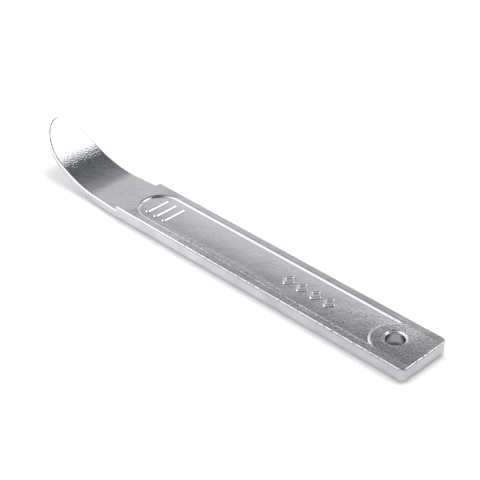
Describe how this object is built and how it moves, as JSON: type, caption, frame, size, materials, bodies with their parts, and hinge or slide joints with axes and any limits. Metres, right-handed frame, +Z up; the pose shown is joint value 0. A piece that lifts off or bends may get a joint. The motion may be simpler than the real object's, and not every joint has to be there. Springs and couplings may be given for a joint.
{
  "type": "tyre lever",
  "caption": "Flat forged tyre lever with a hanging hole, a recessed grip panel and an upturned spoon tip.",
  "frame": {"origin": "middle of the plan length and width, on the flat underside", "axes": "+X along the bar towards the hanging hole, +Z up out of the panelled face"},
  "size_m": [0.2, 0.025, 0.0225],
  "materials": {
    "plated_steel": "bright plating over an as-forged surface, faintly rippled, with fine grain"
  },
  "bodies": {
    "root": {"lever_forging": "plated_steel"}
  },
  "joints": []
}
